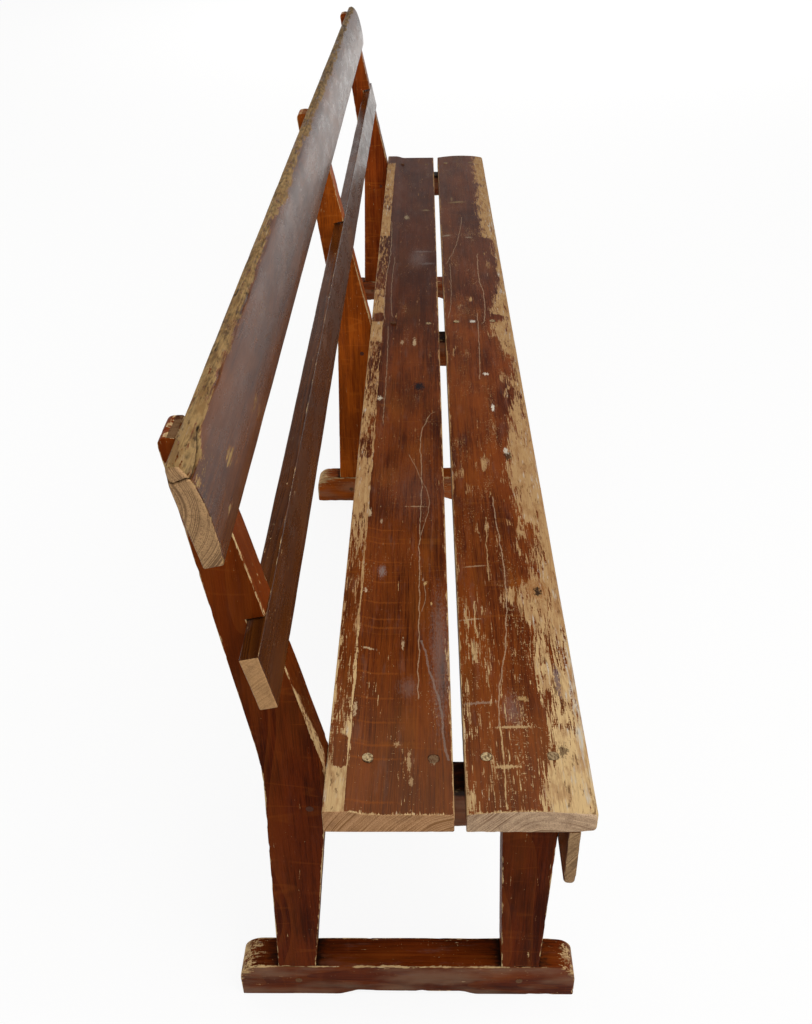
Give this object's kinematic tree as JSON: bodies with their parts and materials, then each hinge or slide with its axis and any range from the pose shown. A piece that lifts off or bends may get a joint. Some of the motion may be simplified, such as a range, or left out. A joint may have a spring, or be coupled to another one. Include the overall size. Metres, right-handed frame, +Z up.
{
  "type": "slatted bench",
  "caption": "Long slatted bench with raked back boards, an apron and pegged trestle frames on sledge feet, in worn mahogany-stained pine.",
  "frame": {"origin": "floor level under the middle of the bench, centred between the ends of the feet", "axes": "+X along the bench, -Y the side the sitter faces, +Z up"},
  "size_m": [2.6, 0.447, 0.8748],
  "materials": {
    "stained_pine_frame": "mahogany-stained pine, old satin varnish",
    "stained_back_pine": "mahogany-stained pine, old satin varnish, worn edges",
    "worn_seat_pine": "mahogany-stained pine worn to bare wood along the edges",
    "peg_wood": "stained end grain",
    "putty": "dried wood putty, matt",
    "screw_steel": "dull, browned steel"
  },
  "bodies": {
    "root": {"foot_left": "stained_pine_frame", "front_leg_left": "stained_pine_frame", "rear_upright_left": "stained_pine_frame", "bearer_left": "stained_pine_frame", "tenon_pegs_left": "peg_wood", "seat_screws_left": "screw_steel", "board_screws_left": "screw_steel", "apron_screws_left": "screw_steel", "screw_plugs_left": "putty", "foot_middle": "stained_pine_frame", "front_leg_middle": "stained_pine_frame", "rear_upright_middle": "stained_pine_frame", "bearer_middle": "stained_pine_frame", "tenon_pegs_middle": "peg_wood", "seat_screws_middle": "screw_steel", "board_screws_middle": "screw_steel", "apron_screws_middle": "screw_steel", "screw_plugs_middle": "putty", "foot_right": "stained_pine_frame", "front_leg_right": "stained_pine_frame", "rear_upright_right": "stained_pine_frame", "bearer_right": "stained_pine_frame", "tenon_pegs_right": "peg_wood", "seat_screws_right": "screw_steel", "board_screws_right": "screw_steel", "apron_screws_right": "screw_steel", "screw_plugs_right": "putty", "seat_plank_rear": "worn_seat_pine", "seat_plank_front": "worn_seat_pine", "back_board_lower": "stained_back_pine", "back_board_upper": "stained_back_pine", "apron": "stained_back_pine"}
  },
  "joints": []
}
